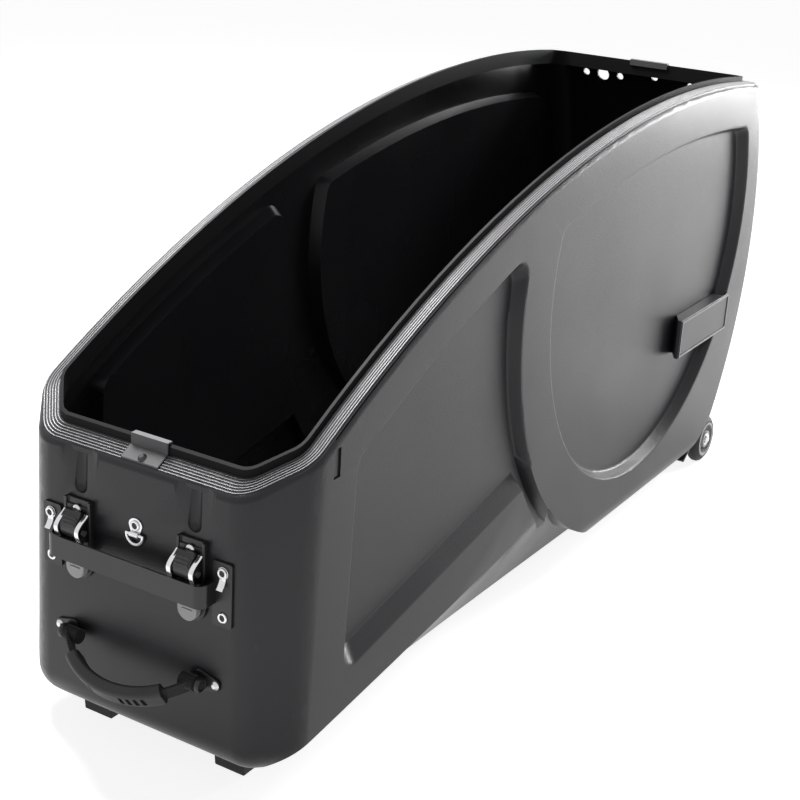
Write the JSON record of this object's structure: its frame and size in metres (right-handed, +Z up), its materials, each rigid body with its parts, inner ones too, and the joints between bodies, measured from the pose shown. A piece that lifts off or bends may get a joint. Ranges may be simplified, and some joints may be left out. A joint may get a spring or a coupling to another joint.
{
  "type": "bike travel case",
  "caption": "Open base half of a hard bike travel case: embossed formed shell, arched rim, sprung buckles with guard bar, swing handle, tail wheels and a sliding inner bike stand.",
  "frame": {"origin": "on the floor, midway along and across the case", "axes": "+X from the low nose to the tall tail, +Y to the left seen from in front of the nose, +Z up"},
  "size_m": [1.5029, 0.414, 0.708],
  "materials": {
    "shell": "fine grained black sheet",
    "lip": "smooth black",
    "catch": "dark grey satin",
    "badge": "dark grey satin, blank",
    "black_plastic": "moulded black",
    "steel": "bright zinc",
    "bright_steel": "polished",
    "grey_plastic": "light grey",
    "black_metal": "black powder coat",
    "soft_black": "soft black",
    "webbing": "black woven band",
    "tyre": "black",
    "alloy": "satin"
  },
  "bodies": {
    "case": {"badge_left": "badge", "badge_right": "badge", "base_shell": "shell", "bracket_bolts": "bright_steel", "buckle_base_left": "black_plastic", "buckle_base_right": "black_plastic", "buckle_frame_left": "steel", "buckle_frame_right": "steel", "buckle_pins_left": "bright_steel", "buckle_pins_right": "bright_steel", "buckle_rivets": "bright_steel", "catch_screws": "bright_steel", "clip_rivet": "bright_steel", "foot_left": "soft_black", "foot_right": "soft_black", "foot_screws": "bright_steel", "front_catch": "catch", "guard_bar": "black_metal", "guard_rivets": "bright_steel", "guard_tab_left": "steel", "guard_tab_right": "steel", "handle_bracket_left": "black_metal", "handle_bracket_right": "black_metal", "handle_screws": "bright_steel", "lever_spring_left": "steel", "lever_spring_right": "steel", "rail_bolts": "bright_steel", "rear_catch": "catch", "rim_lip": "lip", "ring_clip": "steel", "stand_rail": "alloy", "strap_guide_left": "grey_plastic", "strap_guide_right": "grey_plastic", "wheel_axle_left": "bright_steel", "wheel_axle_right": "bright_steel", "wheel_bracket_left": "black_metal", "wheel_bracket_right": "black_metal"},
    "wheel_left": {"wheel_tyre_left": "tyre", "wheel_hub_left": "grey_plastic", "wheel_bearings_left": "steel"},
    "wheel_right": {"wheel_tyre_right": "tyre", "wheel_hub_right": "grey_plastic", "wheel_bearings_right": "steel"},
    "lever_left": {"buckle_lever_left": "black_plastic"},
    "lever_right": {"buckle_lever_right": "black_plastic"},
    "ring": {"tie_ring": "bright_steel"},
    "handle": {"handle_grip": "soft_black", "handle_strap": "webbing"},
    "fork_carriage": {"fork_mount": "alloy", "fork_bolt": "bright_steel", "fork_skewer": "bright_steel", "skewer_nut": "bright_steel"},
    "skewer_arm": {"skewer_lever": "alloy"},
    "cradle_carriage": {"frame_cradle": "alloy", "cradle_pad": "soft_black", "cradle_bolt": "bright_steel"}
  },
  "joints": [
    {"name": "wheel_spin_left", "type": "hinge", "parent": "case", "child": "wheel_left", "pos_m": [0.64052, 0.185, 0.043], "axis": [0, 1, 0], "continuous": true},
    {"name": "lever_lift_left", "type": "hinge", "parent": "case", "child": "lever_left", "pos_m": [-0.70249, 0.084, 0.286], "axis": [0, -1, 0], "range_deg": [0, 60], "stiffness_Nm_per_rad": 0.08, "springref_deg": -20.05},
    {"name": "wheel_spin_right", "type": "hinge", "parent": "case", "child": "wheel_right", "pos_m": [0.64052, -0.185, 0.043], "axis": [0, 1, 0], "continuous": true},
    {"name": "lever_lift_right", "type": "hinge", "parent": "case", "child": "lever_right", "pos_m": [-0.70249, -0.084, 0.286], "axis": [0, -1, 0], "range_deg": [0, 60], "stiffness_Nm_per_rad": 0.08, "springref_deg": -20.05},
    {"name": "ring_swing", "type": "hinge", "parent": "case", "child": "ring", "pos_m": [-0.69273, 0, 0.30121], "axis": [0, 1, 0], "range_deg": [0, 150]},
    {"name": "handle_swing", "type": "hinge", "parent": "case", "child": "handle", "pos_m": [-0.70149, 0, 0.146], "axis": [0, 1, 0], "range_deg": [0, 105]},
    {"name": "fork_slide", "type": "slide", "parent": "case", "child": "fork_carriage", "axis": [1, 0, 0], "range_m": [-0.06, 0.12]},
    {"name": "skewer_turn", "type": "hinge", "parent": "fork_carriage", "child": "skewer_arm", "pos_m": [-0.41948, -0.07, 0.1543], "axis": [1, 0, 0], "range_deg": [0, 180]},
    {"name": "cradle_slide", "type": "slide", "parent": "case", "child": "cradle_carriage", "axis": [1, 0, 0], "range_m": [-0.15, 0.15]}
  ]
}
